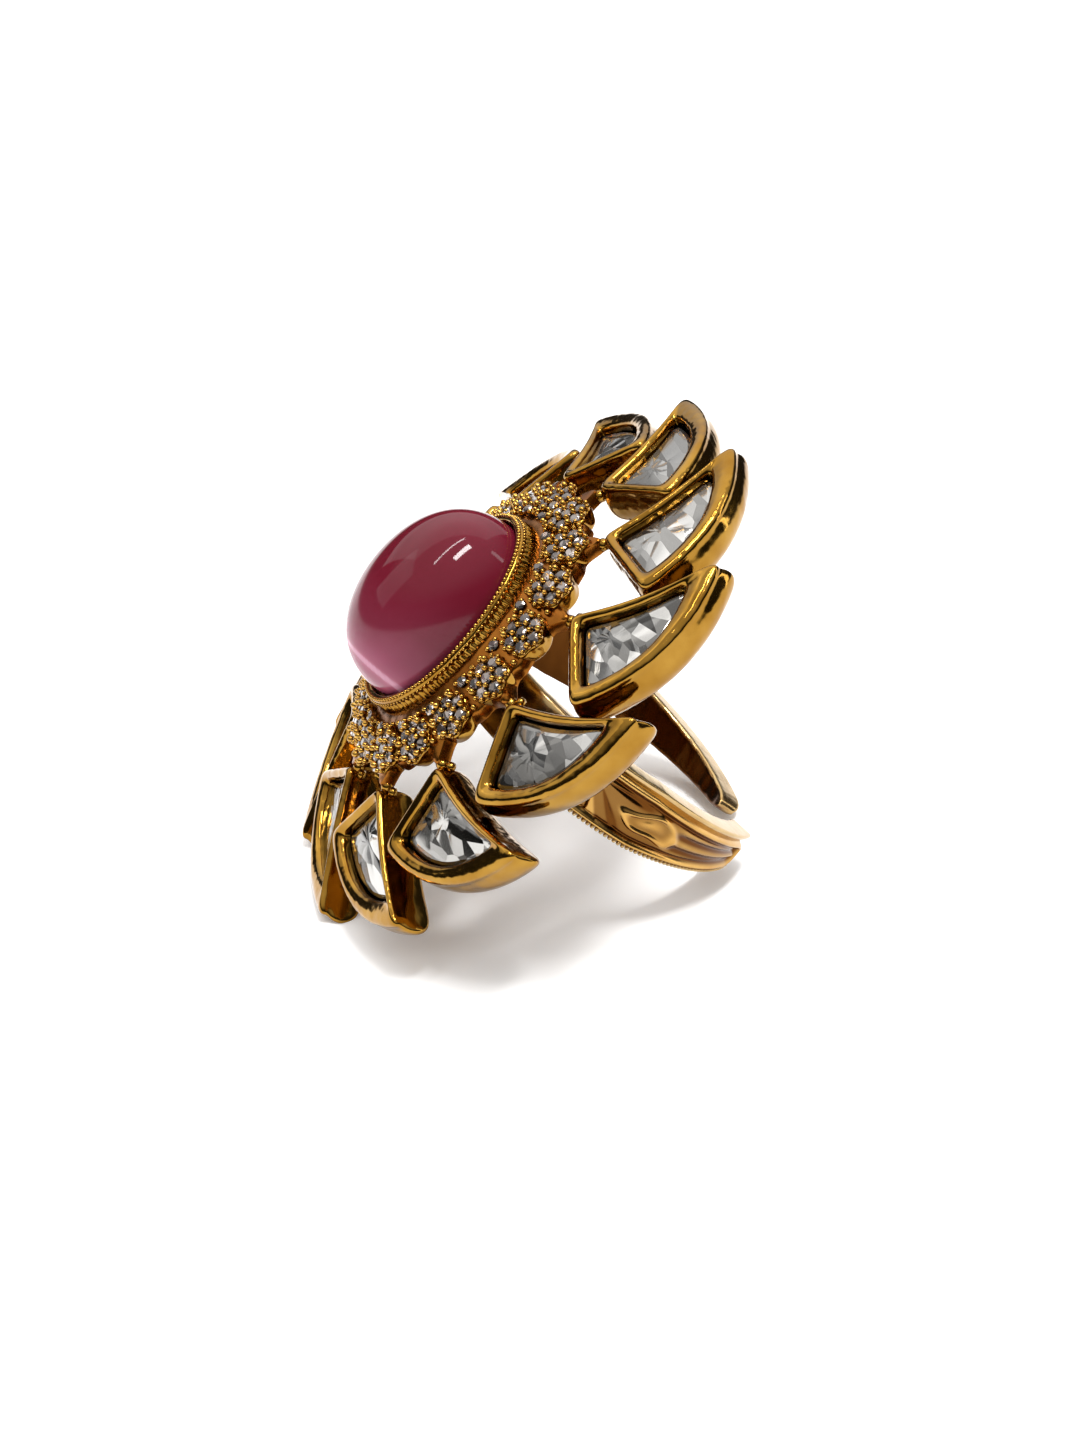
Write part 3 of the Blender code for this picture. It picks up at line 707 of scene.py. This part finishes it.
def add_panel(label, side, end):
    """The ornamented plate on an arm: relief over a grid of the panel's length and width, and milgrain."""
    start, end = PANEL_START, end - PANEL_SHORT
    base = FINGER_RADIUS + BAND_THICK + 0.02
    top = base + PANEL_THICK
    rows, cols = 420, 84
    d = np.linspace(start, end, rows)[:, None]
    length = math.radians(end - start) * base
    s = np.radians(d - start) * base
    tail = np.clip((PANEL_TAIL - s) / PANEL_TAIL, 0, 1)
    half = panel_half(d, s, length, 0.004) * (1 - 0.35 * tail ** 2)
    t = np.concatenate([[-1.0], np.linspace(-1, 1, cols - 2), [1.0]])[None, :]
    edge = np.minimum(half * (1 - np.abs(t)), np.minimum(length - s, s + 0.15) + 0 * t)
    relief = panel_relief(s, length, edge, t, half)
    round_off = 0.24 * np.exp(-edge / 0.10)
    r = top - 0.2 + relief - round_off
    r[:, 0], r[:, -1] = base - 0.04, base - 0.04
    verts, faces = capped(on_shank(d + 0 * t, side, PANEL_MIDDLE + half * t, r))
    # Painted shade: darker where the relief sinks, fading out at the panel's edge.
    painted_shade = np.clip(0.75 - 5.2 * (relief - 0.01), 0, 1) * soft_step(edge, 0.15, 0.5)
    values = np.concatenate([painted_shade.ravel(), [0, 0]])
    made = piece(f"{label}_relief_panel", verts, faces, RELIEF_GOLD, sharp=70, values={"painted_shade": values})

    d = np.linspace(start + 2, end - 1.5, int(length / 0.30))
    x = PANEL_MIDDLE - (panel_half(d, np.radians(d - start) * base, length, 0) - 0.10)
    spots = on_shank(d, side, x, top - 0.13)
    ahead = on_shank(d, side, x - 0.5, top + 0.6)
    verts, faces = copies(*bead_shape(8, 0.9), grain_frames(spots, ahead - spots, 0.135))
    beads = piece(f"{label}_panel_milgrain", verts, faces, PALE_GOLD, values={"painted_shade": np.zeros(len(verts))})
    for each in (made, beads):
        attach(each, f"{label}_arm")
        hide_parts(f"{label}_arm_panel")


def add_bands():
    """Half of the shank a side, from under the head to its end."""
    for label, side, end in (("near", -1, NEAR_END), ("far", 1, FAR_END)):
        points, painted_shade = band_surface(side, end)
        verts, faces = capped(points)
        # Painted shade of the band, with a little on its two end caps.
        values = np.concatenate([painted_shade.ravel(), [0.3, 0.3]])
        made = piece(f"{label}_shank_band", verts, faces, PALE_GOLD, sharp=60, values={"painted_shade": values})
        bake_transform(made)
        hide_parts(f"{label}_arm_band", "shank_bridge")


# ---- floor, lights and camera ----
# A lamp is (name, azimuth, elevation, distance, size, power). Angles are in degrees, lengths in metres.

FLOOR_HALF = 3
LAMPS = [("key", 172, 46, 0.9, (1.6, 1.0), 4.7),
         ("glint_bar", 38, 73, 0.6, (0.25, 0.07), 2.7),
         ("glint_line", -62, 85, 0.6, (0.018, 0.44), 0.85),
         ("side_left", -112, 34, 0.7, (0.4, 0.4), 0.45),
         ("side_right", 80, 20, 0.6, (0.05, 0.5), 0.4)]
CAMERA_AZIMUTH, CAMERA_ELEVATION, CAMERA_ROLL, CAMERA_DISTANCE = -10.437, 25.555, -3.864, 0.11605
CAMERA_SHIFT = (0.027, -0.0476)


def direction(azimuth, elevation):
    """The way to a lamp or the camera. Azimuth 0 is in front of the ring, and 90 to its right."""
    a, e = math.radians(azimuth), math.radians(elevation)
    return Vector((math.sin(a) * math.cos(e), -math.cos(a) * math.cos(e), math.sin(e)))


def add_floor():
    """A pale ground that glows a little, which keeps the shadows light."""
    mesh = bpy.data.meshes.new("floor")
    corners = [(x * FLOOR_HALF, y * FLOOR_HALF, 0) for x, y in ((-1, -1), (1, -1), (1, 1), (-1, 1))]
    mesh.from_pydata(corners, [], [(0, 1, 2, 3)])
    material, _, _, shader = new_material("pale_floor")
    shader.inputs["Base Color"].default_value = (0.93, 0.93, 0.93, 1.0)
    shader.inputs["Emission Color"].default_value = (0.97, 0.98, 1.0, 1.0)
    shader.inputs["Emission Strength"].default_value = 0.14
    shader.inputs["Roughness"].default_value = 0.9
    shader.inputs["Specular IOR Level"].default_value = 0.0
    mesh.materials.append(material)
    floor = bpy.data.objects.new("floor", mesh)
    bpy.context.scene.collection.objects.link(floor)


def add_light(name, azimuth, elevation, distance, size, power):
    """A rectangular lamp that faces the middle of the ring."""
    way = direction(azimuth, elevation)
    lamp = bpy.data.lights.new(name, "AREA")
    lamp.shape, lamp.size, lamp.size_y = "RECTANGLE", size[0], size[1]
    lamp.energy = power
    holder = bpy.data.objects.new(name, lamp)
    holder.location = way * distance + Vector((0, 0, 0.015))
    holder.rotation_mode = "QUATERNION"
    holder.rotation_quaternion = way.to_track_quat("Z", "Y")
    bpy.context.scene.collection.objects.link(holder)


def add_lights():
    """A sky that is pale overhead and dark near the horizon, and the lamps."""
    world = bpy.data.worlds.new("studio")
    world.use_nodes = True
    nodes, links = world.node_tree.nodes, world.node_tree.links
    where = nodes.new("ShaderNodeTexCoord")
    split = nodes.new("ShaderNodeSeparateXYZ")
    links.new(where.outputs["Generated"], split.inputs["Vector"])
    ramp = add_ramp(nodes, links, split.outputs["Z"],
                    [(0.0, (0.30, 0.30, 0.30)), (0.06, (0.03, 0.028, 0.025)), (0.40, (0.05, 0.05, 0.05)),
                     (0.66, (0.85, 0.85, 0.85)), (1.0, (1.1, 1.1, 1.1))])
    links.new(ramp.outputs["Color"], nodes["Background"].inputs["Color"])
    nodes["Background"].inputs["Strength"].default_value = 1.0
    bpy.context.scene.world = world
    for lamp in LAMPS:
        add_light(*lamp)


def add_camera():
    """Looks at the head's origin from in front and above, rolled a little about its own line of sight."""
    way = direction(CAMERA_AZIMUTH, CAMERA_ELEVATION)
    lens = bpy.data.cameras.new("camera")
    lens.lens, lens.sensor_width = 50.0, 36.0
    lens.shift_x, lens.shift_y = CAMERA_SHIFT
    lens.clip_start, lens.clip_end = 0.005, 20
    camera = bpy.data.objects.new("camera", lens)
    camera.location = Vector(HEAD[:3, 3]) + way * CAMERA_DISTANCE
    camera.rotation_mode = "QUATERNION"
    roll = Quaternion((0, 0, 1), math.radians(CAMERA_ROLL))
    camera.rotation_quaternion = way.to_track_quat("Z", "Y") @ roll
    bpy.context.scene.collection.objects.link(camera)
    bpy.context.scene.camera = camera


add_cabochon()
add_bezel()
add_gallery()
add_rosette_stones()
add_petals()
add_bands()
add_panel("near", -1, NEAR_END)
add_panel("far", 1, FAR_END)
add_floor()
add_lights()
add_camera()
bpy.context.scene.view_settings.view_transform = "Standard"
